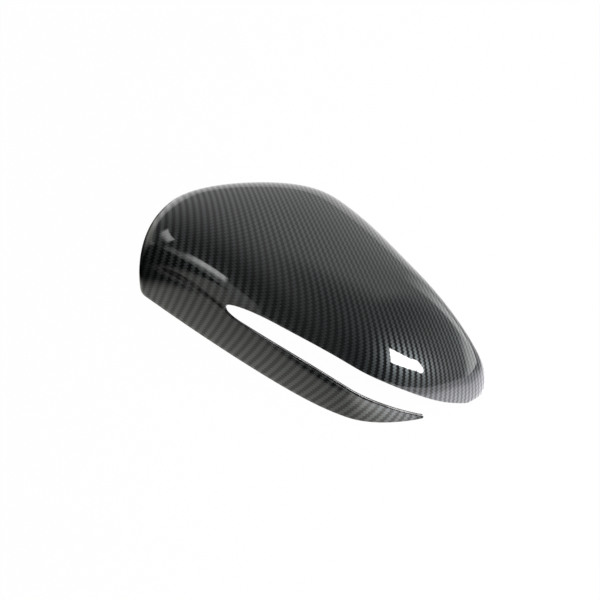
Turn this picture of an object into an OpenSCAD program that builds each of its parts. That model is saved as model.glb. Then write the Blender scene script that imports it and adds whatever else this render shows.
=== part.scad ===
// Wing mirror cover: one moulded shell with a turn lamp slot.
// It lies hollow side down on its rim, face up. Millimetres.
// +X points to the outboard nose, -Y to the side that is the car's underside.

/* [Overall] */
// Length of the cover from the inboard end to the outboard nose
cover_len = 240; // [215:1:265]
// Wall thickness of the moulding
wall = 2.5; // [2:0.1:3.2]

/* [Crown line] */
// Height that the straight runs of the crown line would reach where they meet
crown_h = 75; // [68:0.5:82]
// Place of the bend in the crown line, from mid length
crown_bend_x = -12; // [-25:1:5]
// Fall of the crown line outboard of its bend, in mm for each mm
crown_slope = 0.23; // [0.15:0.01:0.28]
// Softness of the bend in the crown line
crown_soft = 45; // [30:1:60]
// Length over which the inboard end rises to the crown
crown_rise_len = 100; // [85:1:112]
// Length over which the crown rounds off to the nose
crown_nose_len = 64; // [52:1:80]
// Boxiness of the inboard end seen from the side
crown_end_power = 3.2; // [2:0.1:4]

/* [Lower side] */
// Reach from the ridge to the lower rim where its straight runs meet
low_reach = 71; // [64:0.5:78]
// Place of the bend in the lower rim, from mid length
low_bend_x = 60; // [45:1:70]
// Slope of the lower rim inboard of its bend
low_slope_in = 0.18; // [0.12:0.01:0.24]
// Slope of the lower rim outboard of its bend
low_slope_out = 0.26; // [0.18:0.01:0.34]
// Softness of the bend in the lower rim
low_soft = 30; // [20:1:45]
// Length of the rounded corner at the inboard end of the lower rim
low_end_len = 20; // [16:1:30]
// Length of the rounded corner at the nose end of the lower rim
low_nose_len = 56; // [46:1:66]
// Fullness of the lower half of each section, 2 for an ellipse
low_power = 2.3; // [2:0.05:2.8]

/* [Upper side] */
// Reach from the ridge to the upper rim where its straight runs meet
top_reach = 81; // [74:0.5:88]
// Place of the bend in the upper rim, from mid length
top_bend_x = -34; // [-44:1:-24]
// Slope of the upper rim inboard of its bend
top_slope_in = 0.5; // [0.3:0.01:0.55]
// Slope of the upper rim outboard of its bend
top_slope_out = 0.46; // [0.4:0.01:0.48]
// Softness of the bend in the upper rim
top_soft = 22; // [15:1:35]
// Length of the rounded corner at the inboard end of the upper rim
top_end_len = 102; // [85:1:115]
// Length of the rounded corner at the nose end of the upper rim
top_nose_len = 119; // [100:1:130]
// Squareness of the upper half of each section
top_power = 3.2; // [2.6:0.1:4]

/* [Ridge] */
// Sideways shift of the ridge at either end
ridge_skew = 6.5; // [0:0.5:12]
// Sideways bow of the ridge
ridge_bow = 3.5; // [0:0.5:7]
// Shift of the nose's point towards the lower side, which rounds its corner
nose_pull = 7; // [4:0.5:10]
// Length over which the shift grows
nose_pull_len = 45; // [35:1:60]
// Length of the corner's rounding
nose_round = 9; // [6:0.5:14]

/* [Lamp slot] */
// Place of the slot's inboard nose, from mid length
slot_nose_x = -31; // [-40:0.5:-15]
// Angle up the section of the belt line where it runs into the slot
belt_angle = 22.3; // [20:0.1:26]
// Angle by which the belt line climbs on its way inboard
belt_climb = 4; // [0:0.5:6]
// Length over which the belt line climbs
belt_climb_len = 50; // [35:1:60]
// Half height of the step along the belt line
belt_half = 0.9; // [0.6:0.1:1.4]
// Depth by which the lower band lies behind the face above it
belt_step = 1.2; // [0.6:0.1:2]
// Place where the step starts, from mid length
belt_from_x = -88; // [-100:1:-75]
// Length over which the step grows to its full depth
belt_fade = 34; // [20:1:45]
// Height of the strip's top edge at the slot's nose
strip_h = 27; // [25:0.1:29]
// Fall of the strip's top edge, in mm for each mm
strip_slope = 0.025; // [0.01:0.005:0.05]
// Place of the strip's pointed tip, from mid length
strip_tip_x = 101.3; // [98:0.1:106]
// How late the strip's top edge turns down to its tip
strip_power = 4.5; // [4:0.1:6]
// Height of the face's lower edge above the slot's nose
face_edge_h = 39.7; // [37.5:0.1:42]
// Fall of the face's lower edge, in mm for each mm
face_edge_slope = 0.02; // [0:0.005:0.04]
// Distance from the nose of the cover at which the face's edge meets the rim
face_edge_end = 3.1; // [2:0.1:5]
// How late the face's lower edge turns down to the rim
face_edge_power = 4.6; // [3.8:0.1:6]
// Length of the rounding of the slot's nose along the face's edge
slot_round_face = 40; // [25:1:50]
// Length of the rounding of the slot's nose along the strip
slot_round_strip = 12; // [8:0.5:22]

/* [Fixings] */
// Radius of the locating pins
pin_r = 3; // [2:0.1:4]
// Height above the rim of the pins' free ends
pin_end_z = 9; // [5:0.5:14]
// Length of the straight, bare end of a pin
pin_bare = 12; // [8:0.5:18]
// Place of the inboard pin along X
pin_in_x = -70; // [-76:1:-60]
// Place of the inboard pin along Y
pin_in_y = 8; // [2:1:14]
// Place of the outboard pin along X
pin_out_x = 30; // [20:1:40]
// Place of the outboard pin along Y
pin_out_y = 12; // [6:1:18]
// Radius of the shoulder above a pin's bare end
shoulder_r = 4.8; // [4.4:0.1:6]
// Thickness of that shoulder
shoulder_t = 1.6; // [1:0.1:3]
// Thickness of the crossed ribs that carry a pin's shoulder
rib_t = 1.8; // [1.4:0.1:2.4]
// Reach of a rib from the pin's axis
rib_reach = 9; // [7:0.5:12]
// Width of the snap hooks
hook_w = 12; // [8:0.5:16]
// Thickness of a hook's tongue and of the bar that carries it
hook_t = 2.2; // [1.8:0.1:3]
// Gap between a hook's tongue and the wall behind it
hook_gap = 4; // [3:0.5:6]
// Height above the rim of a hook's free end
hook_end_z = 3; // [1:0.5:5]
// Height of a hook from its free end to the top of its bar
hook_h = 13; // [11:0.5:14]
// Depth of a hook's barb
hook_barb = 1.8; // [1:0.1:2.5]
// Height of a hook's barb
hook_barb_h = 5; // [4:0.5:6]
// Place along X of the upper side's inboard hook
hook_top_in_x = -62; // [-70:1:-50]
// Place along X of the upper side's middle hook
hook_top_mid_x = -4; // [-20:1:10]
// Place along X of the upper side's outboard hook
hook_top_out_x = 54; // [40:1:60]
// Place along X of the lower side's inboard hook
hook_low_in_x = -60; // [-75:1:-45]
// Place along X of the lower side's outboard hook
hook_low_out_x = 40; // [20:1:55]

/* [Hidden] */
half_len = cover_len / 2;
half_turn = 180;
// Grid of the shell: stations along X in three runs, rows up each section
band_rows = 6;
face_rows = 39;
runs_in = 24;
runs_slot = 24;
runs_tip = 5;
runs_end = 2;
gather_power = 1.5;
sample_angle = 4;
sample_end_angle = 88;
// How far ribs and hooks reach into the wall
sink = 1.2;
hook_root = 0.3;

function clamp01(v) = min(1, max(0, v));
function mix(a, b, f) = a + (b - a) * f;
// Quarter ellipse rising from 0 to 1
function quarter(u) = sqrt(1 - pow(1 - clamp01(u), 2));
// Rounding at both ends of a line, as a factor
function end_round(x, half, len_in, len_out, power_in) =
    pow(quarter((x + half) / len_in), 2 / power_in) * quarter((half - x) / len_out);
// Two straight runs that meet at 0 in a soft bend
function bend(x, slope_in, slope_out, soft) =
    let (a = slope_in * x, b = slope_out * x, s = soft * (slope_in - slope_out))
    (a + b - sqrt(pow(a - b, 2) + s * s)) / 2;

// Shift of the ridge at the nose, and what it adds to one reach and takes from the other
function pull_at(x) = nose_pull * pow(1 - clamp01((half_len - x) / nose_pull_len), 2);
function corner_at(x, d) = pull_at(x) * quarter((half_len - d - x) / nose_round);

// The three reaches of a section, drawn in by d for the inner skin
function low_at(x, d) = (low_reach - d + bend(x - low_bend_x, low_slope_in, -low_slope_out, low_soft))
    * end_round(x, half_len - d, low_end_len, low_nose_len, 2) - corner_at(x, d);
function top_at(x, d) = (top_reach - d + bend(x - top_bend_x, top_slope_in, -top_slope_out, top_soft))
    * end_round(x, half_len - d, top_end_len, top_nose_len, 2) + corner_at(x, d);
function crown_at(x, d) = (crown_h - d + bend(x - crown_bend_x, 0, -crown_slope, crown_soft))
    * end_round(x, half_len - d, crown_rise_len, crown_nose_len, crown_end_power);
function ridge_at(x) = ridge_skew * x / half_len + ridge_bow * pow(x / half_len, 2) - pull_at(x);

// Sideways place of the box's middle, which becomes y = 0
span_x = [for (a = [-sample_end_angle : sample_angle : sample_end_angle]) half_len * sin(a)];
y_low = min([for (x = span_x) ridge_at(x) - low_at(x, 0)]);
y_high = max([for (x = span_x) ridge_at(x) + top_at(x, 0)]);
y_mid = (y_low + y_high) / 2;

// Point of the skin at station angle a and section angle t, with the band drawn in by step
function skin(a, t, d, step) =
    let (x = (half_len - d) * sin(a), c = abs(cos(t)), s = abs(sin(t)), lower = t <= half_turn / 2)
    [x,
     ridge_at(x) - y_mid + (lower ? -(low_at(x, d) - step * quarter((half_len - abs(x)) / low_end_len))
        * pow(c, 2 / low_power) : top_at(x, d) * c),
     crown_at(x, d) * pow(s, 2 / (lower ? low_power : top_power))];
// Section angle at which the lower half reaches height z
function angle_for(x, z) = asin(pow(clamp01(z / crown_at(x, 0)), low_power / 2));

// Slot edges in elevation
nose_z = crown_at(slot_nose_x, 0) * pow(sin(belt_angle), 2 / low_power);
face_end_x = half_len - face_edge_end;
function falling(x, h, fall, end_x, power) = (h - fall * (x - slot_nose_x))
    * (1 - pow(clamp01((x - slot_nose_x) / (end_x - slot_nose_x)), power));
function strip_z(x) =
    mix(nose_z - belt_half, falling(x, strip_h, strip_slope, strip_tip_x, strip_power),
        quarter((x - slot_nose_x) / slot_round_strip));
function face_z(x) =
    mix(nose_z + belt_half, falling(x, face_edge_h, face_edge_slope, face_end_x, face_edge_power),
        quarter((x - slot_nose_x) / slot_round_face));

// Section angles of the band's top row and the face's bottom row
belt_da = angle_for(slot_nose_x, nose_z + belt_half) - belt_angle;
function belt_at(x) = belt_angle + belt_climb * sin(90 * clamp01((slot_nose_x - x) / belt_climb_len));
function band_top(x) = x <= slot_nose_x ? belt_at(x) - belt_da : angle_for(x, strip_z(x));
function face_low(x) = x <= slot_nose_x ? belt_at(x) + belt_da : angle_for(x, face_z(x));
function step_at(x) = belt_step * clamp01((x - belt_from_x) / belt_fade);

// Station angles: to the slot's nose, along the slot, past the strip's tip, to the end
a_nose = asin(slot_nose_x / half_len);
a_tip = asin(strip_tip_x / half_len);
a_edge = asin(face_end_x / half_len);
stations = [
    for (i = [0 : runs_in]) mix(-90, a_nose, i / runs_in),
    for (i = [1 : runs_slot]) mix(a_nose, a_tip, pow(i / runs_slot, gather_power)),
    for (i = [1 : runs_tip]) mix(a_tip, a_edge, i / runs_tip),
    for (i = [1 : runs_end]) mix(a_edge, 90, i / runs_end)];
i_nose = runs_in;
i_tip = i_nose + runs_slot;
i_last = len(stations) - 1;
rows = band_rows + 1 + face_rows;
j_face = band_rows + 1;

function row_angle(x, j) = j <= band_rows
    ? band_top(x) * j / band_rows
    : mix(face_low(x), half_turn, (j - j_face) / face_rows);
function row_step(x, j) = j <= band_rows ? step_at(x) * j / band_rows : 0;
function grid_point(i, j, d) =
    let (a = stations[i], x = half_len * sin(a))
    skin(a, row_angle(x, j), d, row_step(x, j));

// Place of a grid point in the list; a pole and the strip's tip are one point each
function index(i, j, side) =
    let (jj = (i == 0 || i == i_last) ? j_face : (i == i_tip && j <= band_rows) ? 0 : j)
    side * (i_last + 1) * (rows + 1) + i * (rows + 1) + jj;
// A cell is open where the lamp shows through
function closed(i, j) = j > band_rows || (i < i_tip && (j < band_rows || i < i_nose));
function distinct(f) = f[0] != f[1] && f[1] != f[2] && f[2] != f[0];
function quad(a, b, c, d) = [for (f = [[a, b, c], [a, c, d]]) if (distinct(f)) f];
function edge_wall(i, k, j, m) =
    quad(index(i, j, 0), index(k, m, 0), index(k, m, 1), index(i, j, 1));

module shell() {
    points = [for (side = [0, 1], i = [0 : i_last], j = [0 : rows]) grid_point(i, j, side * wall)];
    cells = [for (i = [0 : i_last - 1], j = [0 : rows - 1]) if (closed(i, j)) [i, j]];
    outer = [for (c = cells) each quad(index(c[0], c[1], 0), index(c[0], c[1] + 1, 0),
        index(c[0] + 1, c[1] + 1, 0), index(c[0] + 1, c[1], 0))];
    inner = [for (c = cells) each quad(index(c[0], c[1], 1), index(c[0] + 1, c[1], 1),
        index(c[0] + 1, c[1] + 1, 1), index(c[0], c[1] + 1, 1))];
    walls = [
        for (i = [0 : i_tip - 1]) each edge_wall(i, i + 1, 0, 0),
        for (i = [0 : i_last - 1]) each edge_wall(i + 1, i, rows, rows),
        for (i = [i_nose : i_tip - 1]) each edge_wall(i + 1, i, band_rows, band_rows),
        for (i = [i_nose : i_last - 1]) each edge_wall(i, i + 1, j_face, j_face),
        each edge_wall(i_nose, i_nose, band_rows, j_face)];
    polyhedron(points, concat(outer, inner, walls), convexity = 8);
}

// Height of the inner skin over a place
function ceiling_z(x, y) =
    let (off = y + y_mid - ridge_at(x),
        s = off < 0 ? 1 - pow(clamp01(-off / low_at(x, wall)), low_power)
            : 1 - pow(clamp01(off / top_at(x, wall)), 2))
    crown_at(x, wall) * pow(s, 1 / (off < 0 ? low_power : top_power));

// One locating pin: a bare round end, its shoulder, and crossed ribs up to the inner skin
module pin(x, y) {
    shoulder_z = pin_end_z + pin_bare;
    foot_z = shoulder_z + shoulder_t / 2;
    foot = shoulder_r - rib_t / 2;
    translate([x, y, pin_end_z]) cylinder(r = pin_r, h = foot_z - pin_end_z, $fn = 48);
    translate([x, y, shoulder_z]) cylinder(r = shoulder_r, h = shoulder_t, $fn = 48);
    translate([x, y + rib_t / 2, 0]) rotate([90, 0, 0]) linear_extrude(rib_t)
        polygon([[-foot, foot_z], [foot, foot_z],
            for (s = [1, 0, -1]) [s * rib_reach, ceiling_z(x + s * rib_reach, y) + sink / 2]]);
    translate([x - rib_t / 2, y, 0]) rotate([90, 0, 90]) linear_extrude(rib_t)
        polygon([[-foot, foot_z], [foot, foot_z],
            for (s = [1, 0, -1]) [s * rib_reach, ceiling_z(x, y + s * rib_reach) + sink / 2]]);
}

// Place across of the inner wall at the rim
function wall_y(x, side) = ridge_at(x) - y_mid + side * (side < 0 ? low_at(x, wall) : top_at(x, wall));

// One snap hook on the inner wall, side -1 for the lower and 1 for the upper side
module hook(x, side) {
    rise = wall_y(x + hook_t, side) - wall_y(x - hook_t, side);
    top = hook_end_z + hook_h;
    front = hook_gap + hook_t;
    translate([x, wall_y(x, side), 0])
        rotate([0, 0, atan(rise / (2 * hook_t)) + (side < 0 ? 0 : half_turn)])
        rotate([90, 0, 90])
        translate([0, 0, -hook_w / 2])
        linear_extrude(hook_w)
        polygon([[-hook_root, top - hook_t], [hook_gap, top - hook_t], [hook_gap, hook_end_z],
            [front, hook_end_z], [front + hook_barb, hook_end_z + hook_barb_h - hook_barb],
            [front, hook_end_z + hook_barb_h], [front, top], [-hook_root, top]]);
}

module mirror_cover() {
    color("#26282a") {
        shell();
        pin(pin_in_x, pin_in_y);
        pin(pin_out_x, pin_out_y);
        for (x = [hook_top_in_x, hook_top_mid_x, hook_top_out_x]) hook(x, 1);
        for (x = [hook_low_in_x, hook_low_out_x]) hook(x, -1);
    }
}

mirror_cover();
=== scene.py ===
"""Looks of a wing mirror cover: a printed carbon weave under a clear coat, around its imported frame."""

import math

import bmesh
import bpy
from bpy.props import FloatProperty, FloatVectorProperty, PointerProperty
from mathutils import Euler, Matrix, Vector


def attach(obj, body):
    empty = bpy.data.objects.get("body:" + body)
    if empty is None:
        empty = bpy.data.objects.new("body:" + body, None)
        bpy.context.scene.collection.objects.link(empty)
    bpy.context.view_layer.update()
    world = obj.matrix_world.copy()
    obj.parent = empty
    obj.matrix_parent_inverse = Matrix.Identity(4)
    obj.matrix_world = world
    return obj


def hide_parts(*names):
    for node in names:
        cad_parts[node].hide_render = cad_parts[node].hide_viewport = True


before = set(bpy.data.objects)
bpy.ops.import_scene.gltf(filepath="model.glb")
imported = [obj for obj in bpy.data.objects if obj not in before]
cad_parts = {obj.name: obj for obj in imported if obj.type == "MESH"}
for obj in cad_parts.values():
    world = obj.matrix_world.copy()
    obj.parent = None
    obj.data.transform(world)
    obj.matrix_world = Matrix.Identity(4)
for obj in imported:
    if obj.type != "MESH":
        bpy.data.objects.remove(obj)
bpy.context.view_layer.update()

bl_info = {
    "name": "Wing mirror cover",
    "version": (1, 0, 0),
    "blender": (4, 5, 0),
    "location": "3D View > Sidebar > Mirror Cover",
    "description": "Builds the printed shell of a wing mirror cover with its pins, hooks and studio",
    "category": "Add Mesh",
}

MM = 0.001


def size(name, description, default):
    """A length property whose default is given in millimetres."""
    return FloatProperty(name=name, description=description, default=default * MM,
                         unit="LENGTH", subtype="DISTANCE", precision=5)


def number(name, description, default):
    return FloatProperty(name=name, description=description, default=default, precision=4)


def turn(name, description, default):
    """An angle property whose default is given in degrees."""
    return FloatProperty(name=name, description=description, default=math.radians(default),
                         unit="ROTATION", subtype="ANGLE")


def colour(name, description, default):
    return FloatVectorProperty(name=name, description=description, default=default, size=3,
                               subtype="COLOR", min=0.0, max=1.0)


class MirrorCoverForm(bpy.types.PropertyGroup):
    """Sizes that shape the shell, the same as the solid's"""

    length: size("Length", "Inboard end to outboard nose", 240)
    wall: size("Wall", "Thickness of the moulding", 2.5)
    crown_h: size("Crown height", "Height where the crown's straight runs would meet", 75)
    crown_bend_x: size("Crown bend", "Place of the crown's bend", -12)
    crown_slope: number("Crown fall", "Fall of the crown outboard of its bend", 0.23)
    crown_soft: size("Crown softness", "Softness of the crown's bend", 45)
    crown_rise_len: size("Crown rise", "Length over which the inboard end rises", 100)
    crown_nose_len: size("Crown nose", "Length over which the crown rounds to the nose", 64)
    crown_end_power: number("Crown end power", "Boxiness of the inboard end", 3.2)
    low_reach: size("Lower reach", "Ridge to lower rim where its runs meet", 71)
    low_bend_x: size("Lower bend", "Place of the lower rim's bend", 60)
    low_slope_in: number("Lower rise", "Slope of the lower rim inboard of its bend", 0.18)
    low_slope_out: number("Lower fall", "Slope of the lower rim outboard of its bend", 0.26)
    low_soft: size("Lower softness", "Softness of the lower rim's bend", 30)
    low_end_len: size("Lower end", "Rounded corner at the inboard end", 20)
    low_nose_len: size("Lower nose", "Rounded corner at the nose", 56)
    low_power: number("Lower fullness", "Fullness of the lower half of a section", 2.3)
    top_reach: size("Upper reach", "Ridge to upper rim where its runs meet", 81)
    top_bend_x: size("Upper bend", "Place of the upper rim's bend", -34)
    top_slope_in: number("Upper rise", "Slope of the upper rim inboard of its bend", 0.5)
    top_slope_out: number("Upper fall", "Slope of the upper rim outboard of its bend", 0.46)
    top_soft: size("Upper softness", "Softness of the upper rim's bend", 22)
    top_end_len: size("Upper end", "Rounded corner at the inboard end", 102)
    top_nose_len: size("Upper nose", "Rounded corner at the nose", 119)
    top_power: number("Upper squareness", "Squareness of the upper half of a section", 3.2)
    ridge_skew: size("Ridge skew", "Shift of the ridge at either end", 6.5)
    ridge_bow: size("Ridge bow", "Bow of the ridge", 3.5)
    nose_pull: size("Nose pull", "Shift of the nose's point to the lower side", 7)
    nose_pull_len: size("Nose pull length", "Length over which the shift grows", 45)
    nose_round: size("Nose round", "Length of the corner's rounding", 9)
    slot_nose_x: size("Slot nose", "Place of the slot's inboard nose", -31)
    belt_angle: turn("Belt angle", "Angle up the section of the belt line at the slot", 22.3)
    belt_climb: turn("Belt climb", "Angle by which the belt line climbs inboard", 4)
    belt_climb_len: size("Belt climb length", "Length of that climb", 50)
    belt_half: size("Belt half height", "Half height of the step along the belt line", 0.9)
    belt_step: size("Belt step", "Depth of the lower band behind the face", 1.2)
    belt_from_x: size("Belt start", "Place where the step starts", -88)
    belt_fade: size("Belt fade", "Length over which the step grows", 34)
    strip_h: size("Strip height", "Height of the strip's top edge at the slot's nose", 27)
    strip_slope: number("Strip fall", "Fall of the strip's top edge", 0.025)
    strip_tip_x: size("Strip tip", "Place of the strip's pointed tip", 101.3)
    strip_power: number("Strip power", "How late the strip's edge turns down", 4.5)
    face_edge_h: size("Face edge height", "Height of the face's lower edge", 39.7)
    face_edge_slope: number("Face edge fall", "Fall of the face's lower edge", 0.02)
    face_edge_end: size("Face edge end", "Distance from the nose where it meets the rim", 3.1)
    face_edge_power: number("Face edge power", "How late the face's edge turns down", 4.6)
    slot_round_face: size("Slot round, face", "Rounding of the slot's nose along the face", 40)
    slot_round_strip: size("Slot round, strip", "Rounding of the slot's nose along the strip", 12)
    edge_round: size("Edge round", "Rounding of the moulding's cut edges", 0.35)


class MirrorCoverFixings(bpy.types.PropertyGroup):
    """Sizes of the locating pins and the snap hooks inside the shell"""

    pin_r: size("Pin radius", "Radius of the locating pins", 3)
    pin_end_z: size("Pin end", "Height of the pins' free ends above the rim", 9)
    pin_bare: size("Pin bare length", "Bare length of a pin below its ribs", 12)
    shoulder_r: size("Shoulder radius", "Radius of the shoulder above a pin's bare end", 4.8)
    shoulder_t: size("Shoulder thickness", "Thickness of that shoulder", 1.6)
    rib_t: size("Rib thickness", "Thickness of a pin's ribs", 1.8)
    rib_reach: size("Rib reach", "Reach of a rib from the pin's axis", 9)
    rib_sink: size("Rib sink", "How far a rib's upper end reaches into the face", 0.6)
    pin_round: size("Pin round", "Rounding of the pins' and shoulders' rims", 0.3)
    pin_in_x: size("Inboard pin, along", "Place of the inboard pin along the cover", -70)
    pin_in_y: size("Inboard pin, across", "Place of the inboard pin across the cover", 8)
    pin_out_x: size("Outboard pin, along", "Place of the outboard pin along the cover", 30)
    pin_out_y: size("Outboard pin, across", "Place of the outboard pin across the cover", 12)
    hook_w: size("Hook width", "Width of the snap hooks", 12)
    hook_t: size("Hook thickness", "Thickness of a hook's tongue", 2.2)
    hook_gap: size("Hook gap", "Gap between a hook's tongue and the wall", 4)
    hook_end_z: size("Hook end", "Height of a hook's free end above the rim", 3)
    hook_h: size("Hook height", "Height of a hook", 13)
    hook_barb: size("Barb depth", "Depth of a hook's barb", 1.8)
    hook_barb_h: size("Barb height", "Height of a hook's barb", 5)
    hook_sink: size("Hook sink", "How far a hook's root reaches into the wall", 0.3)
    hook_round: size("Hook round", "Rounding of a hook's edges", 0.25)
    hook_upper_inboard_x: size("Upper inboard hook", "Its place along the cover", -62)
    hook_upper_middle_x: size("Upper middle hook", "Its place along the cover", -4)
    hook_upper_outboard_x: size("Upper outboard hook", "Its place along the cover", 54)
    hook_lower_inboard_x: size("Lower inboard hook", "Its place along the cover", -60)
    hook_lower_outboard_x: size("Lower outboard hook", "Its place along the cover", 40)


class MirrorCoverFinish(bpy.types.PropertyGroup):
    """Colours of the print, the bare plastic and the studio"""

    weave_dark: colour("Weave dark", "Tows that turn away from the light", (0.0030, 0.0034, 0.0036))
    weave_light: colour("Weave light", "Tows that catch the light", (0.051, 0.056, 0.058))
    plastic: colour("Plastic", "Bare moulded plastic of the inside", (0.014, 0.0145, 0.015))
    floor: colour("Floor", "Plain pale floor", (0.85, 0.85, 0.85))


# Sums of powers of x, y and z, in decimetres, that lay the print over the outer skin:
# (power of x, power of y, power of z, amount), once counted in columns and once in teeth.
COLUMN_LAY = (
    (1, 0, 0, 17.4), (0, 1, 0, 16.2), (0, 0, 1, -5.2),
    (2, 0, 0, 3.9), (0, 2, 0, 14.4), (0, 0, 2, 11.1),
    (1, 1, 0, 4.9), (1, 0, 1, 2.7), (0, 1, 1, 15.2),
    (3, 0, 0, 1.8), (0, 3, 0, -5.1), (0, 0, 3, 2.5),
    (2, 1, 0, 6.2), (2, 0, 1, 1.1), (1, 2, 0, 8.7),
    (0, 2, 1, 4.6), (1, 0, 2, 9.2), (0, 1, 2, 3.0), (1, 1, 1, 12.6),
)
TOOTH_LAY = (
    (1, 0, 0, 20.9), (0, 1, 0, -49.0), (0, 0, 1, -5.4),
    (2, 0, 0, -2.1), (0, 2, 0, -2.6), (0, 0, 2, -22.2),
    (1, 1, 0, 21.2), (1, 0, 1, -14.6), (0, 1, 1, 35.7),
    (2, 1, 0, -10.9),
)
DECIMETRE = 0.1

# Below the belt line the print is drawn tighter: where that starts across and in height, the length
# over which it sets in, and the teeth it adds per decimetre of height, at the middle and per decimetre
# along the cover.
TIGHT_Y, TIGHT_Z, TIGHT_BLEND = -0.020, 0.025, 0.015
TIGHT_TEETH, TIGHT_TEETH_ALONG = -18.5, 14.6


def lay(terms, x, y, z):
    """Sum of powers of a place, as COLUMN_LAY and TOOTH_LAY give them."""
    x, y, z = x / DECIMETRE, y / DECIMETRE, z / DECIMETRE
    return sum(amount * x ** i * y ** j * z ** k for i, j, k, amount in terms)


def tight_teeth(x, y, z):
    """Teeth that the tighter print below the belt line adds at a place."""
    share = clamp01((TIGHT_Y - y) / TIGHT_BLEND)
    below = min(z - TIGHT_Z, 0.0) / DECIMETRE
    return share * below * (TIGHT_TEETH_ALONG * x / DECIMETRE + TIGHT_TEETH)


def clamp01(v):
    return min(1.0, max(0.0, v))


def mix(a, b, f):
    return a + (b - a) * f


def quarter(u):
    """Quarter ellipse rising from 0 to 1."""
    return math.sqrt(1 - (1 - clamp01(u)) ** 2)


# Angles in degrees whose sines are the places where the rim is tried for its widest points.
RIM_TURNS = range(-88, 89, 4)
TINY = 1e-9
LOWER, UPPER = -1, 1


class Form:
    """The laws of the shell: points of its skins and heights of its slot's edges."""

    def __init__(self, sizes):
        self.s = sizes
        self.half = sizes.length / 2
        rim = [self.half * math.sin(math.radians(a)) for a in RIM_TURNS]
        low = min(self.ridge(x) - self.low(x, 0) for x in rim)
        high = max(self.ridge(x) + self.top(x, 0) for x in rim)
        self.y_mid = (low + high) / 2
        up = math.sin(sizes.belt_angle) ** (2 / sizes.low_power)
        self.nose_z = self.crown(sizes.slot_nose_x, 0) * up
        self.face_end_x = self.half - sizes.face_edge_end
        belt_upper = self.angle_for(sizes.slot_nose_x, self.nose_z + sizes.belt_half)
        self.belt_da = belt_upper - sizes.belt_angle

    @staticmethod
    def bend(x, slope_in, slope_out, soft):
        """Two straight runs that meet in a soft bend at x = 0."""
        a, b, s = slope_in * x, slope_out * x, soft * (slope_in - slope_out)
        return (a + b - math.sqrt((a - b) ** 2 + s * s)) / 2

    @staticmethod
    def end_round(x, half, len_in, len_out, power_in):
        """Share left of a reach where it rounds off at both ends."""
        return quarter((x + half) / len_in) ** (2 / power_in) * quarter((half - x) / len_out)

    def pull(self, x):
        """Shift of the section towards the lower side, near the nose."""
        return self.s.nose_pull * (1 - clamp01((self.half - x) / self.s.nose_pull_len)) ** 2

    def corner(self, x, d):
        """Shift of the rim's corner at the nose."""
        return self.pull(x) * quarter((self.half - d - x) / self.s.nose_round)

    def low(self, x, d):
        """Reach from the ridge to the lower rim, drawn in by d."""
        s = self.s
        bend = self.bend(x - s.low_bend_x, s.low_slope_in, -s.low_slope_out, s.low_soft)
        ends = self.end_round(x, self.half - d, s.low_end_len, s.low_nose_len, 2)
        return (s.low_reach - d + bend) * ends - self.corner(x, d)

    def top(self, x, d):
        """Reach from the ridge to the upper rim, drawn in by d."""
        s = self.s
        bend = self.bend(x - s.top_bend_x, s.top_slope_in, -s.top_slope_out, s.top_soft)
        ends = self.end_round(x, self.half - d, s.top_end_len, s.top_nose_len, 2)
        return (s.top_reach - d + bend) * ends + self.corner(x, d)

    def crown(self, x, d):
        """Height of the ridge, drawn in by d."""
        s = self.s
        bend = self.bend(x - s.crown_bend_x, 0, -s.crown_slope, s.crown_soft)
        ends = self.end_round(x, self.half - d, s.crown_rise_len, s.crown_nose_len, s.crown_end_power)
        return (s.crown_h - d + bend) * ends

    def ridge(self, x):
        """Place across of the ridge, before y_mid is taken off."""
        share = x / self.half
        return self.s.ridge_skew * share + self.s.ridge_bow * share ** 2 - self.pull(x)

    def skin(self, x_turn, t, d, step):
        """Point at station angle x_turn and section angle t, drawn in by d, with the band's step."""
        s = self.s
        x = (self.half - d) * math.sin(x_turn)
        c, h = abs(math.cos(t)), abs(math.sin(t))
        if t <= math.pi / 2:
            drawn = step * quarter((self.half - abs(x)) / s.low_end_len)
            across, power = -(self.low(x, d) - drawn) * c ** (2 / s.low_power), s.low_power
        else:
            across, power = self.top(x, d) * c, s.top_power
        return Vector((x, self.ridge(x) - self.y_mid + across, self.crown(x, d) * h ** (2 / power)))

    def angle_for(self, x, z):
        """Section angle at which the lower half reaches height z."""
        return math.asin(clamp01(z / max(self.crown(x, 0), TINY)) ** (self.s.low_power / 2))

    def falling(self, x, height, fall, end_x, power):
        """Height of an edge that falls gently from the slot's nose and turns down to the rim."""
        start = self.s.slot_nose_x
        return (height - fall * (x - start)) * (1 - clamp01((x - start) / (end_x - start)) ** power)

    def strip_z(self, x):
        """Height of the strip's top edge."""
        s = self.s
        edge = self.falling(x, s.strip_h, s.strip_slope, s.strip_tip_x, s.strip_power)
        return mix(self.nose_z - s.belt_half, edge, quarter((x - s.slot_nose_x) / s.slot_round_strip))

    def face_z(self, x):
        """Height of the face's lower edge."""
        s = self.s
        edge = self.falling(x, s.face_edge_h, s.face_edge_slope, self.face_end_x, s.face_edge_power)
        return mix(self.nose_z + s.belt_half, edge, quarter((x - s.slot_nose_x) / s.slot_round_face))

    def belt(self, x):
        """Section angle of the belt line's middle."""
        s = self.s
        return s.belt_angle + s.belt_climb * math.sin(
            math.pi / 2 * clamp01((s.slot_nose_x - x) / s.belt_climb_len))

    def band_top(self, x):
        """Section angle where the band below the belt line, or the strip, ends."""
        inboard = x <= self.s.slot_nose_x
        return self.belt(x) - self.belt_da if inboard else self.angle_for(x, self.strip_z(x))

    def face_low(self, x):
        """Section angle where the face starts."""
        inboard = x <= self.s.slot_nose_x
        return self.belt(x) + self.belt_da if inboard else self.angle_for(x, self.face_z(x))

    def step(self, x):
        """Depth of the band's step behind the face."""
        return self.s.belt_step * clamp01((x - self.s.belt_from_x) / self.s.belt_fade)

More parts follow.
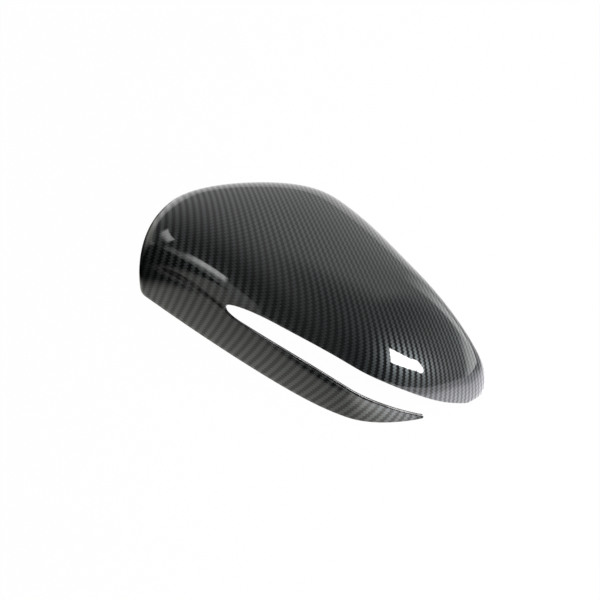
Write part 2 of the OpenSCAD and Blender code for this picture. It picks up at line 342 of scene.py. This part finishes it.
    def ceiling(self, x, y):
        """Height of the inner skin over a place."""
        s, d = self.s, self.s.wall
        off = y + self.y_mid - self.ridge(x)
        if off < 0:
            rise = (1 - clamp01(-off / self.low(x, d)) ** s.low_power) ** (1 / s.low_power)
        else:
            rise = (1 - clamp01(off / self.top(x, d)) ** 2) ** (1 / s.top_power)
        return self.crown(x, d) * rise

    def wall_y(self, x, side):
        """Place across of the inner wall at the rim, on the LOWER or the UPPER side."""
        reach = self.low(x, self.s.wall) if side == LOWER else self.top(x, self.s.wall)
        return self.ridge(x) - self.y_mid + side * reach


class Wire:
    """Wraps a node socket, so that shader maths reads as Python."""

    def __init__(self, net, socket):
        self.net, self.socket = net, socket

    def other(self, key):
        """Another output of the same node."""
        return Wire(self.net, self.socket.node.outputs[key])

    def math(self, operation, *values):
        inputs = dict(enumerate((self,) + values))
        return self.net.node("ShaderNodeMath", dict(operation=operation), inputs)

    def __add__(self, other):
        return self.math("ADD", other)

    __radd__ = __add__

    def __sub__(self, other):
        return self.math("SUBTRACT", other)

    def __rsub__(self, other):
        return self.net.node("ShaderNodeMath", dict(operation="SUBTRACT"), {0: other, 1: self})

    def __mul__(self, other):
        return self.math("MULTIPLY", other)

    __rmul__ = __mul__

    def floor(self):
        return self.math("FLOOR")

    def fract(self):
        return self.math("FRACT")

    def modulo(self, n):
        return self.math("FLOORED_MODULO", n)

    def below(self, n):
        return self.math("LESS_THAN", n)

    def size_of(self):
        return self.math("ABSOLUTE")

    def at_least(self, n):
        return self.math("MAXIMUM", n)

    def between(self, low, high):
        return self.at_least(low).math("MINIMUM", high)

    def smooth(self, low, high, out_low=0.0, out_high=1.0):
        """Soft step from one level to the other, between two values."""
        return self.net.node("ShaderNodeMapRange", dict(interpolation_type="SMOOTHSTEP"),
                             {"Value": self, "From Min": low, "From Max": high,
                              "To Min": out_low, "To Max": out_high})


class Net:
    """Adds nodes to one material's or world's tree."""

    def __init__(self, owner):
        owner.use_nodes = True
        self.tree = owner.node_tree
        self.tree.nodes.clear()

    def node(self, kind, settings=None, inputs=None, output=0):
        """Adds a node, first its settings, then its inputs, and gives one of its outputs."""
        made = self.tree.nodes.new(kind)
        for key, value in (settings or {}).items():
            setattr(made, key, value)
        for key, value in (inputs or {}).items():
            if isinstance(value, Wire):
                self.tree.links.new(value.socket, made.inputs[key])
            else:
                made.inputs[key].default_value = value
        return Wire(self, made.outputs[output]) if made.outputs else None

    def object_place(self):
        return self.node("ShaderNodeTexCoord", output="Object")

    def noise(self, place, scale, detail=2.0):
        return self.node("ShaderNodeTexNoise", None,
                         {"Vector": place, "Scale": scale, "Detail": detail})

    def attribute(self, name):
        """Number kept at the piece's vertices."""
        return self.node("ShaderNodeAttribute", dict(attribute_name=name), output="Fac")

    def vector(self, operation, a, b, output=0):
        return self.node("ShaderNodeVectorMath", dict(operation=operation), {0: a, 1: b}, output)

    def dot(self, a, b):
        return self.vector("DOT_PRODUCT", a, b, "Value")

    def scaled(self, tint, level):
        """Colour times a number."""
        return self.node("ShaderNodeVectorMath", dict(operation="SCALE"), {0: tint, "Scale": level})

    def blend(self, factor, a, b):
        """Mix of two colours by a factor."""
        return self.node("ShaderNodeMix", dict(data_type="RGBA"), {0: factor, 6: a, 7: b}, 2)

    def rays(self):
        """Shares of rays that see a thing directly, and of those that see it mirrored."""
        camera = self.node("ShaderNodeLightPath", output="Is Camera Ray")
        return camera + camera.other("Is Transmission Ray"), camera.other("Is Glossy Ray")


def rgba(colour_value, level=1.0):
    """Colour times a level, with full alpha."""
    return tuple(c * level for c in colour_value) + (1.0,)


# The twill: a column is two tows wide, and the pattern repeats after four steps, counted from 0. Those
# below TWILL_LIT have the tow that catches the light on top.
TOWS_PER_COLUMN, TWILL_STEPS, TWILL_LIT = 2, 4.0, 1.5
LIT_TONE, LIT_FIBRES, DARK_FIBRES = 0.70, 0.55, 0.14
VALLEY_FROM, VALLEY_TO, VALLEY_DEPTH = 0.34, 0.5, 0.35
DRIFT_SCALE, DRIFT_DEPTH = 28.0, 0.5
FIBRE_STRETCH, FIBRE_SCALE = (11.0, 1.3, 1.0), 2.0
# How far the painted shade along the belt line's step darkens the print and thins its clear coat.
CREASE_SHADE_DEPTH = 0.85
TOW_ROUGHNESS, TOW_METAL = 0.40, 0.9
COAT_ROUGHNESS, COAT_INDEX = 0.035, 1.5


def print_material(finish):
    """Twill print of carbon tows under a thick clear coat."""
    material = bpy.data.materials.new("carbon_print")
    net = Net(material)
    uv = net.node("ShaderNodeUVMap", dict(uv_map="print"))
    column = net.node("ShaderNodeSeparateXYZ", None, {0: uv})
    tooth = column.other("Y")
    warp = column * TOWS_PER_COLUMN + tooth
    weft = column * TOWS_PER_COLUMN - tooth
    over = (warp.floor() + weft.floor()).modulo(TWILL_STEPS).below(TWILL_LIT)
    warp_edge = (warp.fract() - 0.5).size_of().smooth(VALLEY_FROM, VALLEY_TO)
    weft_edge = (weft.fract() - 0.5).size_of().smooth(VALLEY_FROM, VALLEY_TO)
    valley = warp_edge * over + weft_edge * (1 - over)
    drift = net.noise(net.object_place(), DRIFT_SCALE)
    fibres = net.noise(net.vector("MULTIPLY", uv, FIBRE_STRETCH), FIBRE_SCALE)
    tone = over * (LIT_TONE + fibres * LIT_FIBRES) + (1 - over) * (fibres * DARK_FIBRES)
    tone = tone * (1 - valley * VALLEY_DEPTH) * (drift * DRIFT_DEPTH + (1 - DRIFT_DEPTH / 2))
    # Painted shade: the print is darker and its coat thinner along the belt line's step.
    crease_shade_factor = 1 - net.attribute("crease_shade") * CREASE_SHADE_DEPTH
    base = net.blend(tone * crease_shade_factor, rgba(finish.weave_dark), rgba(finish.weave_light))
    bsdf = net.node("ShaderNodeBsdfPrincipled", None, {
        "Base Color": base, "Roughness": TOW_ROUGHNESS, "Specular IOR Level": 0.0,
        "Metallic": over * TOW_METAL, "Coat Weight": crease_shade_factor, "Coat Roughness": COAT_ROUGHNESS,
        "Coat IOR": COAT_INDEX})
    net.node("ShaderNodeOutputMaterial", None, {"Surface": bsdf})
    return material


GRAIN_SCALE, GRAIN_STRENGTH, GRAIN_HEIGHT = 900.0, 0.08, 0.2 * MM
CLOUD_SCALE, CLOUD_DETAIL, CLOUD_SPAN, CLOUD_ROUGHNESS = 22.0, 3.0, (0.3, 0.7), 0.1
CLOUD_DARK, CLOUD_LIGHT = 0.8, 1.25
INSIDE_ROUGHNESS = 0.40


def plastic_material(finish, name):
    """Bare black moulded plastic with a faint mould grain."""
    material = bpy.data.materials.new(name)
    net = Net(material)
    place = net.object_place()
    grain = net.noise(place, GRAIN_SCALE)
    cloud = net.noise(place, CLOUD_SCALE, CLOUD_DETAIL)
    base = net.blend(cloud.smooth(*CLOUD_SPAN), rgba(finish.plastic, CLOUD_DARK),
                     rgba(finish.plastic, CLOUD_LIGHT))
    bump = net.node("ShaderNodeBump", None, {
        "Height": grain, "Strength": GRAIN_STRENGTH, "Distance": GRAIN_HEIGHT})
    bsdf = net.node("ShaderNodeBsdfPrincipled", None, {
        "Base Color": base, "Roughness": cloud * CLOUD_ROUGHNESS + INSIDE_ROUGHNESS, "Normal": bump})
    net.node("ShaderNodeOutputMaterial", None, {"Surface": bsdf})
    return material


# A pale line is painted along the middle of the cut edge as a highlight. Distances from there, as shares
# of the wall: up to the first the line is full, and at the second it is gone.
HIGHLIGHT_FULL, HIGHLIGHT_GONE, HIGHLIGHT_COLOUR = 0.14, 0.28, (0.8, 0.8, 0.8, 1.0)
CUT_CLOUD_SCALE, CUT_CLOUD_SPAN, CUT_ROUGHNESS = 60.0, (0.25, 0.6), 0.3
CUT_COAT, CUT_COAT_ROUGHNESS = 0.6, 0.05


def cut_material(finish):
    """Cut edge of the moulding: dark plastic with a pale line painted along its middle as a highlight.
    """
    material = bpy.data.materials.new("cut_edge")
    net = Net(material)
    cloud = net.noise(net.object_place(), CUT_CLOUD_SCALE)
    # Painted highlight: a pale line along the middle of the cut edge, broken up by the cloud.
    line = (net.attribute("inward") - 0.5).size_of().smooth(HIGHLIGHT_FULL, HIGHLIGHT_GONE, 1.0, 0.0)
    broken_highlight = line * net.attribute("edge_highlight") * cloud.smooth(*CUT_CLOUD_SPAN)
    bsdf = net.node("ShaderNodeBsdfPrincipled", None, {
        "Base Color": net.blend(broken_highlight, rgba(finish.plastic), HIGHLIGHT_COLOUR),
        "Roughness": cloud * CLOUD_ROUGHNESS + CUT_ROUGHNESS,
        "Coat Weight": CUT_COAT, "Coat Roughness": CUT_COAT_ROUGHNESS})
    net.node("ShaderNodeOutputMaterial", None, {"Surface": bsdf})
    return material


# The floor as the gloss sees it, in metres. Four numbers are a soft step: where it starts and ends, and
# its level there; two are its start and end alone. How far a place is away counts from SPINE_REACH
# around a line under the cover. A dark fan runs off the inboard end between two lit parts, left and
# far, and each LINE points across the edge of its part, from a point near that end.
SPINE_END, SPINE_Y, SPINE_REACH = 0.085, -0.03, 0.033
FRONT_FADE = (0.045, 0.08, 1.0, 0.0)
FRONT_INBOARD, FRONT_OUTBOARD = (-0.124, -0.10, 0.0, 0.64), (-0.10, 0.03, 0.0, 0.20)
NOSE_SKEW, NOSE_RISE, NOSE_FADE = 0.3, (0.08, 0.135, 0.0, 2.7), (0.0, 0.16, 1.3, 0.8)
NOSE_BACK_SKEW, NOSE_BACK_FADE = 0.5, (-0.05, 0.0, 1.0, 0.35)
BEHIND_RISE = (0.03, 0.07)
END_X, END_Y = -0.09, -0.03
LEFT_LINE, LEFT_RISE, LEFT_FADE = (-0.407, 0.914), (0.0, 0.10), (-0.24, -0.16, 0.8, 0.0)
FAR_LINE, FAR_RISE = (0.809, -0.588), (-0.03, 0.01)
FAR_START, FAR_FADE = (0.04, 0.09), (-0.10, 0.0, 0.7, 0.0)
OLIVE, WHITE, VIOLET = (1.0, 1.0, 0.93, 1), (1.0, 1.0, 1.0, 1), (0.98, 0.96, 1.0, 1)
VIOLET_RISE = (0.07, 0.12)
FLOOR_WHITE = 0.985


def floor_glow(net):
    """Colour that the gloss finds on the floor: bright beside the nose, dark off the inboard end."""
    place = net.object_place()
    x = net.node("ShaderNodeSeparateXYZ", None, {0: place})
    y = x.other("Y")
    spine = net.node("ShaderNodeCombineXYZ", None, {0: x.between(-SPINE_END, SPINE_END), 1: SPINE_Y})
    away = net.vector("DISTANCE", place, spine, "Value") - SPINE_REACH
    front = away.smooth(*FRONT_FADE) * (x.smooth(*FRONT_INBOARD) + x.smooth(*FRONT_OUTBOARD))
    nose = ((x - y * NOSE_SKEW).smooth(*NOSE_RISE) * away.smooth(*NOSE_FADE)
            * (y - x * NOSE_BACK_SKEW).smooth(*NOSE_BACK_FADE))
    behind = y.smooth(*BEHIND_RISE)
    from_x, from_y = x - END_X, y - END_Y
    left = (from_x * LEFT_LINE[0] + from_y * LEFT_LINE[1]).smooth(*LEFT_RISE) * x.smooth(*LEFT_FADE)
    far = ((from_x * FAR_LINE[0] + from_y * FAR_LINE[1]).smooth(*FAR_RISE)
           * away.smooth(*FAR_START) * x.smooth(*FAR_FADE))
    level = (front + far + nose).at_least(behind).at_least(left)
    tint = net.blend(x.smooth(*VIOLET_RISE), net.blend(behind, OLIVE, WHITE), VIOLET)
    return net.scaled(tint, level)


def floor_material(finish):
    """Pale floor that reads as white and keeps a faint shadow."""
    material = bpy.data.materials.new("floor_paper")
    net = Net(material)
    seen, mirrored = net.rays()
    paper = net.node("ShaderNodeBsdfDiffuse", None, {"Color": rgba(finish.floor)})
    white = net.node("ShaderNodeEmission", None, {"Color": WHITE, "Strength": 1.0})
    glow = net.node("ShaderNodeEmission", None, {"Color": floor_glow(net), "Strength": 1.0})
    shown = net.node("ShaderNodeMixShader", None, {0: seen * FLOOR_WHITE, 1: paper, 2: white})
    shown = net.node("ShaderNodeMixShader", None, {0: mirrored, 1: shown, 2: glow})
    net.node("ShaderNodeOutputMaterial", None, {"Surface": shown})
    return material


SHARP_EDGE = math.radians(35)


def finish_piece(bm, name, materials):
    """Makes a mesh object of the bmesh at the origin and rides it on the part."""
    mesh = bpy.data.meshes.new(name)
    bm.to_mesh(mesh)
    bm.free()
    for material in materials:
        mesh.materials.append(material)
    mesh.shade_smooth()
    mesh.set_sharp_from_angle(angle=SHARP_EDGE)
    piece = bpy.data.objects.new(name, mesh)
    bpy.context.scene.collection.objects.link(piece)
    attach(piece, "root")
    return piece


# Stations along the shell: up to the slot's nose, along the slot, from the strip's tip to the end of
# the face's edge, and from there to the nose. Those along the slot gather near its nose.
STATIONS_IN, STATIONS_SLOT, STATIONS_TIP, STATIONS_END = 62, 84, 12, 5
GATHER = 1.5
# Rows up the section: the band below the belt line, the line's step, and the face.
BAND_ROWS, BELT_ROWS, FACE_ROWS = 14, 3, 90
# The painted shade along the belt line sets in faster than the step under it, by this factor.
CREASE_SHADE_GAIN = 2.2
PRINT, EDGE, INSIDE = 0, 1, 2
# Points closer than the first are one, and edges shorter than the second are dissolved.
MERGE, SLIVER = 1e-6, 1e-7
GRID_HALF = 0.5
ROUND_SEGMENTS, PIN_SIDES = 2, 64


def round_edges(bm, edges, offset):
    """Rounds edges of the moulding, by an offset in metres."""
    bmesh.ops.bevel(bm, geom=edges, offset=offset, offset_type="OFFSET", segments=ROUND_SEGMENTS,
                    profile=0.5, affect="EDGES", material=-1, clamp_overlap=True)


def clean(bm):
    """Closes what has run together and turns the faces outward."""
    bmesh.ops.remove_doubles(bm, verts=bm.verts, dist=MERGE)
    bmesh.ops.dissolve_degenerate(bm, edges=bm.edges, dist=SLIVER)
    bmesh.ops.recalc_face_normals(bm, faces=bm.faces)


class MIRRORCOVER_OT_shell(bpy.types.Operator):
    """Builds the shell with its belt line, lamp slot and strip"""

    bl_idname = "mirror_cover.shell"
    bl_label = "Shell"

    @staticmethod
    def stations(form):
        """Angles of the stations along the shell, whose sines are their places."""
        nose, tip, edge = (math.asin(x / form.half)
                           for x in (form.s.slot_nose_x, form.s.strip_tip_x, form.face_end_x))
        reaches = ((-math.pi / 2, nose, STATIONS_IN, 1), (nose, tip, STATIONS_SLOT, GATHER),
                   (tip, edge, STATIONS_TIP, 1), (edge, math.pi / 2, STATIONS_END, 1))
        turns = [-math.pi / 2]
        for start, end, count, gather in reaches:
            turns += [mix(start, end, (i / count) ** gather) for i in range(1, count + 1)]
        return turns

    def execute(self, context):
        form = Form(context.scene.mirror_cover_form)
        s = form.s
        turns = self.stations(form)
        columns, rows = len(turns) - 1, BAND_ROWS + BELT_ROWS + FACE_ROWS
        i_nose, i_tip = STATIONS_IN, STATIONS_IN + STATIONS_SLOT
        j_face = BAND_ROWS + BELT_ROWS

        bm = bmesh.new()
        bmesh.ops.create_grid(bm, x_segments=columns, y_segments=rows, size=GRID_HALF)
        station, angle, step, crease_shade, inward, edge_highlight = (
            bm.verts.layers.float.new(name)
            for name in ("station", "angle", "step", "crease_shade", "inward", "edge_highlight"))

        def cell(co):
            return (co.x + GRID_HALF) * columns, (co.y + GRID_HALF) * rows

        gap = [f for f in bm.faces
               for i, j in [cell(f.calc_center_median())]
               if j < j_face and (i > i_tip or (i > i_nose and j > BAND_ROWS))]
        for v in bm.verts:
            i, j = (round(c) for c in cell(v.co))
            turn_here = turns[i]
            x = form.half * math.sin(turn_here)
            band, low, depth = form.band_top(x), form.face_low(x), form.step(x)
            if j <= BAND_ROWS:
                t, drawn = band * j / BAND_ROWS, depth * j / BAND_ROWS
            elif j < j_face:
                share = (j - BAND_ROWS) / BELT_ROWS
                t, drawn = mix(band, low, share), depth * (1 - share)
            else:
                t, drawn = mix(low, math.pi, (j - j_face) / FACE_ROWS), 0.0
            v[station], v[angle], v[step] = turn_here, t, drawn
            # Vertices along the belt line's step, inboard of the slot, carry the painted shade.
            if i <= i_nose:
                v[crease_shade] = float(BAND_ROWS <= j <= j_face) * clamp01(CREASE_SHADE_GAIN * depth / s.belt_step)
            # The strip's top edge carries the painted highlight, which grows outboard from the slot's
            # nose.
            elif j == BAND_ROWS:
                v[edge_highlight] = clamp01((x - s.slot_nose_x) / s.low_bend_x)
            v.co = form.skin(turn_here, t, 0, drawn)
        bmesh.ops.delete(bm, geom=gap, context="FACES")
        clean(bm)
        if sum(f.normal.z * f.calc_area() for f in bm.faces) < 0:
            bmesh.ops.reverse_faces(bm, faces=bm.faces)
        outer = list(bm.faces)
        for f in outer:
            f.material_index = PRINT
        made = bmesh.ops.extrude_face_region(bm, geom=outer, use_keep_orig=True)["geom"]
        inner = [g for g in made if isinstance(g, bmesh.types.BMFace)]
        for v in (g for g in made if isinstance(g, bmesh.types.BMVert)):
            v.co = form.skin(v[station], v[angle], s.wall, v[step])
            v[inward], v[crease_shade] = 1.0, 0.0
        inner_set, outer_set = set(inner), set(outer)
        for f in bm.faces:
            if f in inner_set:
                f.material_index = INSIDE
            elif f not in outer_set:
                f.material_index = EDGE
        bmesh.ops.recalc_face_normals(bm, faces=bm.faces)
        rims = [e for e in bm.edges if len(e.link_faces) == 2
                and sum(f.material_index == EDGE for f in e.link_faces) == 1]
        round_edges(bm, rims, s.edge_round)
        for v in bm.verts:
            v.co.z = max(v.co.z, 0.0)
        clean(bm)
        uv = bm.loops.layers.uv.new("print")
        for f in bm.faces:
            for loop in f.loops:
                x, y, z = loop.vert.co
                place = x, y + form.y_mid, z
                loop[uv].uv = (lay(COLUMN_LAY, *place), lay(TOOTH_LAY, *place) + tight_teeth(*place))
        finish = context.scene.mirror_cover_finish
        shell = finish_piece(bm, "mirror_cover_shell", [
            print_material(finish), cut_material(finish), plastic_material(finish, "moulded_inside")])
        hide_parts("mirror_cover")
        return {"FINISHED"}


class MIRRORCOVER_OT_pins(bpy.types.Operator):
    """Builds the two locating pins with their crossed ribs"""

    bl_idname = "mirror_cover.pins"
    bl_label = "Locating pins"

    @staticmethod
    def drum(bm, x, y, radius, low, high, rounding):
        """Upright cylinder with rounded rims."""
        middle = Matrix.Translation((x, y, (low + high) / 2))
        made = bmesh.ops.create_cone(bm, cap_ends=True, segments=PIN_SIDES, radius1=radius,
                                     radius2=radius, depth=high - low, matrix=middle)["verts"]
        rims = dict.fromkeys(e for v in made for e in v.link_edges
                             if abs(e.verts[0].co.z - e.verts[1].co.z) < MERGE)
        round_edges(bm, list(rims), rounding)

    def execute(self, context):
        form, s = Form(context.scene.mirror_cover_form), context.scene.mirror_cover_fixings
        material = plastic_material(context.scene.mirror_cover_finish, "moulded_pins")
        shoulder_z = s.pin_end_z + s.pin_bare
        foot_z, foot = shoulder_z + s.shoulder_t / 2, s.shoulder_r - s.rib_t / 2
        for name, x, y in (("locating_pin_inboard", s.pin_in_x, s.pin_in_y),
                           ("locating_pin_outboard", s.pin_out_x, s.pin_out_y)):
            bm = bmesh.new()
            self.drum(bm, x, y, s.pin_r, s.pin_end_z, foot_z, s.pin_round)
            self.drum(bm, x, y, s.shoulder_r, shoulder_z, shoulder_z + s.shoulder_t, s.pin_round)
            for cos, sin in ((1, 0), (0, 1)):
                for v in bmesh.ops.create_cube(bm, size=1.0)["verts"]:
                    high = v.co.z > 0
                    along = math.copysign(s.rib_reach if high else foot, v.co.x)
                    aside = v.co.y * s.rib_t
                    px, py = x + along * cos - aside * sin, y + along * sin + aside * cos
                    v.co = (px, py, form.ceiling(px, py) + s.rib_sink if high else foot_z)
            bmesh.ops.recalc_face_normals(bm, faces=bm.faces)
            finish_piece(bm, name, [material])
        return {"FINISHED"}


class MIRRORCOVER_OT_hooks(bpy.types.Operator):
    """Builds the snap hooks along the inner wall"""

    bl_idname = "mirror_cover.hooks"
    bl_label = "Snap hooks"

    def execute(self, context):
        form, s = Form(context.scene.mirror_cover_form), context.scene.mirror_cover_fixings
        material = plastic_material(context.scene.mirror_cover_finish, "moulded_hooks")
        places = (("hook_upper_inboard", s.hook_upper_inboard_x, UPPER),
                  ("hook_upper_middle", s.hook_upper_middle_x, UPPER),
                  ("hook_upper_outboard", s.hook_upper_outboard_x, UPPER),
                  ("hook_lower_inboard", s.hook_lower_inboard_x, LOWER),
                  ("hook_lower_outboard", s.hook_lower_outboard_x, LOWER))
        root, back, front = -s.hook_sink, s.hook_gap, s.hook_gap + s.hook_t
        low, top = s.hook_end_z, s.hook_end_z + s.hook_h
        barb_top = s.hook_end_z + s.hook_barb_h
        profile = ((root, top - s.hook_t), (back, top - s.hook_t), (back, low), (front, low),
                   (front + s.hook_barb, barb_top - s.hook_barb), (front, barb_top),
                   (front, top), (root, top))
        for name, x, side in places:
            lean = math.atan((form.wall_y(x + MM, side) - form.wall_y(x - MM, side)) / (2 * MM))
            turn_by = lean + (0 if side == LOWER else math.pi)
            bm = bmesh.new()
            face = bm.faces.new([bm.verts.new((-s.hook_w / 2, out, z)) for out, z in profile])
            swept = bmesh.ops.extrude_face_region(bm, geom=[face], use_keep_orig=True)["geom"]
            bmesh.ops.translate(bm, vec=(s.hook_w, 0, 0),
                                verts=[g for g in swept if isinstance(g, bmesh.types.BMVert)])
            bmesh.ops.recalc_face_normals(bm, faces=bm.faces)
            round_edges(bm, bm.edges, s.hook_round)
            place = Matrix.Translation((x, form.wall_y(x, side), 0))
            bmesh.ops.transform(bm, verts=bm.verts, matrix=place @ Matrix.Rotation(turn_by, 4, "Z"))
            finish_piece(bm, name, [material])
        return {"FINISHED"}


def heading(azimuth, elevation=0):
    """Unit vector towards azimuth (0 is -Y, 90 is +X) and elevation, in degrees."""
    a, e = math.radians(azimuth), math.radians(elevation)
    return Vector((math.sin(a) * math.cos(e), -math.cos(a) * math.cos(e), math.sin(e)))


# Lights that only the gloss sees. A soft one: azimuth and elevation of its middle in degrees, then a
# soft step over the cosine of the angle from there: start, end and the levels there. SHADE dims the
# tent and the window.
TENT = (-161, 55.8, (-0.03, 1.4, 0.0, 1.18))
WINDOW = (110, -8.5, (0.21, 1.14, 0.0, 2.45))
SHADE = (69, 41.4, (0.42, 0.64, 1.0, 0.34))
SKY_BASE = 0.12
# One that ends at an edge: a soft one, two directions that the edge runs through, and how soft it is.
PALE_WALL = ((125, 5, (0.40, 0.90, 0.0, 2.6)), (135, 25), (103, -1), (-0.03, 0.08))
VERGE = ((60, 0, (0.90, 0.97, 0.0, 2.2)), (76, -2), (50, 8), (-0.005, 0.015))
# A tube: azimuth, elevation and slope, its soft lower edge, its upper edge, its soft inboard end and
# its outboard end, all four as sines of the angle from its middle, and its level.
STREAK = (-45, 6, 0.25, (-0.08, 0.01), 0.052, (-0.12, 0.03), 0.13, 5.2)
PATCH = (-69, 10, -0.12, (-0.08, 0.02), 0.055, (-0.17, -0.09), 0.135, 3.4)
HAZE = (-42, 0, 0.17, (-0.3, 0.02), 0.12, (-0.32, -0.22), 0.20, 0.65)
TUBE_SIDE, TUBE_END = 0.008, 0.012
AMBIENT = 0.28

# name, shape, azimuth, elevation, distance from LIT_POINT, width, height, roll, tilt, shift and spin in
# its own plane, radiance, seen in gloss
LAMPS = (
    ("softbox_key", "RECTANGLE", 67.0, 39.3, 0.75, 0.344, 0.260,
     -47, (46.8, -31.0, -6.9), (0.021, 0.008), 6.4, 30.0, True),
    ("softbox_end", "ELLIPSE", 67.0, 39.3, 0.75, 0.20, 0.31,
     -47, (46.8, -31.0, -6.9), (0.262, 0.045), 6.4, 26.0, True),
    ("overhead_fill", "RECTANGLE", -165, 56, 1.30, 1.00, 0.80,
     0, (0, 0, 0), (0, 0), 0, 1.9, False),
)
LIT_POINT = (0.084, -0.032, 0.037)

# The camera, from a fit of the cover's outline: its direction and distance from the middle of the rim,
# its focal length, and how far it aims off that middle, in pixels of a frame of FRAME_PX.
VIEW_AZIMUTH, VIEW_ELEVATION, VIEW_DISTANCE = 34.336, 43.143, 0.9
VIEW_FOCAL_PX, FRAME_PX, SENSOR = 1431.0, 600, 36.0
VIEW_OFFSET_PX = (13.474, 17.251)
VIEW_CLIP = (0.01, 100.0)
FLOOR_HALF, FLOOR_CELLS = 30.0, 8


class MIRRORCOVER_OT_studio(bpy.types.Operator):
    """Sets up the floor, the lamps, the world and the camera"""

    bl_idname = "mirror_cover.studio"
    bl_label = "Studio"

    def execute(self, context):
        context.scene.view_settings.view_transform = "Standard"
        self.floor(context.scene)
        self.world(context.scene)
        self.lamps(context.scene)
        self.camera(context.scene)
        return {"FINISHED"}

    @staticmethod
    def floor(scene):
        bm = bmesh.new()
        bmesh.ops.create_grid(bm, x_segments=FLOOR_CELLS, y_segments=FLOOR_CELLS, size=FLOOR_HALF)
        mesh = bpy.data.meshes.new("floor")
        bm.to_mesh(mesh)
        bm.free()
        mesh.materials.append(floor_material(scene.mirror_cover_finish))
        floor = bpy.data.objects.new("floor", mesh)
        scene.collection.objects.link(floor)

    @staticmethod
    def world(scene):
        world = bpy.data.worlds.new("studio")
        scene.world = world
        net = Net(world)
        seen, mirrored = net.rays()
        way = net.node("ShaderNodeTexCoord", output="Generated")

        def soft(azimuth, elevation, levels):
            """A soft light around a direction."""
            return net.dot(way, heading(azimuth, elevation)).smooth(*levels)

        def edged(light, start, end, softness):
            """A soft light that ends at an edge."""
            edge = heading(*start).cross(heading(*end)).normalized()
            return net.dot(way, edge).smooth(*softness) * soft(*light)

        def tube(azimuth, elevation, slope, lower, upper, inboard, outboard, level):
            """A light tube: crisp at its upper edge and outboard end, soft at the others."""
            out, along = heading(azimuth, elevation), heading(azimuth + 90)
            u = net.dot(way, along)
            v = net.dot(way, out.cross(along)) - u * slope
            across = v.smooth(upper - TUBE_SIDE, upper + TUBE_SIDE, 1.0, 0.0) * v.smooth(*lower)
            end = u.smooth(outboard - TUBE_END, outboard + TUBE_END, 1.0, 0.0)
            in_front = 1 - net.dot(way, out).below(0)
            return across * u.smooth(*inboard) * end * in_front * level

        sky = ((soft(*TENT) + soft(*WINDOW) + SKY_BASE) * soft(*SHADE)
               + edged(*PALE_WALL) + edged(*VERGE) + tube(*HAZE) + tube(*STREAK) + tube(*PATCH))
        level = mirrored * sky + seen + (1 - mirrored - seen) * AMBIENT
        background = net.node("ShaderNodeBackground", None, {
            "Color": net.scaled(WHITE[:3], level), "Strength": 1.0})
        net.node("ShaderNodeOutputWorld", None, {"Surface": background})

    @staticmethod
    def lamps(scene):
        for (name, shape, azimuth, elevation, distance, width, height, roll, tilt, shift, spin,
             radiance, gloss) in LAMPS:
            area = width * height * (math.pi / 4 if shape == "ELLIPSE" else 1)
            data = bpy.data.lights.new(name, "AREA")
            data.shape, data.size, data.size_y = shape, width, height
            data.energy = radiance * math.pi * area
            lamp = bpy.data.objects.new(name, data)
            out = heading(azimuth, elevation)
            lamp.matrix_world = (Matrix.Translation(Vector(LIT_POINT) + out * distance)
                                 @ (-out).to_track_quat("-Z", "Y").to_matrix().to_4x4()
                                 @ Matrix.Rotation(math.radians(roll), 4, "Z")
                                 @ Euler((math.radians(a) for a in tilt)).to_matrix().to_4x4()
                                 @ Matrix.Translation((*shift, 0))
                                 @ Matrix.Rotation(math.radians(spin), 4, "Z"))
            lamp.visible_camera = False
            lamp.visible_glossy = gloss
            scene.collection.objects.link(lamp)

    @staticmethod
    def camera(scene):
        """Aims the camera so that the cover stands in the frame as in the photo."""
        form = Form(scene.mirror_cover_form)
        out, right = heading(VIEW_AZIMUTH, VIEW_ELEVATION), heading(VIEW_AZIMUTH + 90)
        up = out.cross(right)
        ahead = (-out - right * VIEW_OFFSET_PX[0] / VIEW_FOCAL_PX
                 + up * VIEW_OFFSET_PX[1] / VIEW_FOCAL_PX).normalized()
        right = (right - ahead * right.dot(ahead)).normalized()
        up = right.cross(ahead)
        data = bpy.data.cameras.new("camera")
        data.sensor_width = SENSOR
        data.lens = VIEW_FOCAL_PX / FRAME_PX * SENSOR
        data.clip_start, data.clip_end = VIEW_CLIP
        camera = bpy.data.objects.new("camera", data)
        turned = Matrix((right, up, -ahead)).transposed().to_4x4()
        stand = Vector((0, -form.y_mid, 0)) + out * VIEW_DISTANCE
        camera.matrix_world = Matrix.Translation(stand) @ turned
        scene.collection.objects.link(camera)
        scene.camera = camera


OPERATORS = (MIRRORCOVER_OT_shell, MIRRORCOVER_OT_pins, MIRRORCOVER_OT_hooks, MIRRORCOVER_OT_studio)


class MIRRORCOVER_PT_panel(bpy.types.Panel):
    """Lists the steps that build the cover"""

    bl_idname = "MIRRORCOVER_PT_panel"
    bl_label = "Mirror Cover"
    bl_space_type = "VIEW_3D"
    bl_region_type = "UI"
    bl_category = "Mirror Cover"

    def draw(self, context):
        for operator in OPERATORS:
            self.layout.operator(operator.bl_idname)
        for group in (context.scene.mirror_cover_form, context.scene.mirror_cover_fixings,
                      context.scene.mirror_cover_finish):
            box = self.layout.box()
            for key in group.__annotations__:
                box.prop(group, key)


GROUPS = (("mirror_cover_form", MirrorCoverForm), ("mirror_cover_fixings", MirrorCoverFixings),
          ("mirror_cover_finish", MirrorCoverFinish))


def register():
    for name, group in GROUPS:
        bpy.utils.register_class(group)
        setattr(bpy.types.Scene, name, PointerProperty(type=group))
    for item in OPERATORS + (MIRRORCOVER_PT_panel,):
        bpy.utils.register_class(item)


def unregister():
    for item in (MIRRORCOVER_PT_panel,) + OPERATORS:
        bpy.utils.unregister_class(item)
    for name, group in GROUPS:
        delattr(bpy.types.Scene, name)
        bpy.utils.unregister_class(group)


def main():
    register()
    bpy.ops.mirror_cover.shell()
    bpy.ops.mirror_cover.pins()
    bpy.ops.mirror_cover.hooks()
    bpy.ops.mirror_cover.studio()


if __name__ == "__main__":
    main()
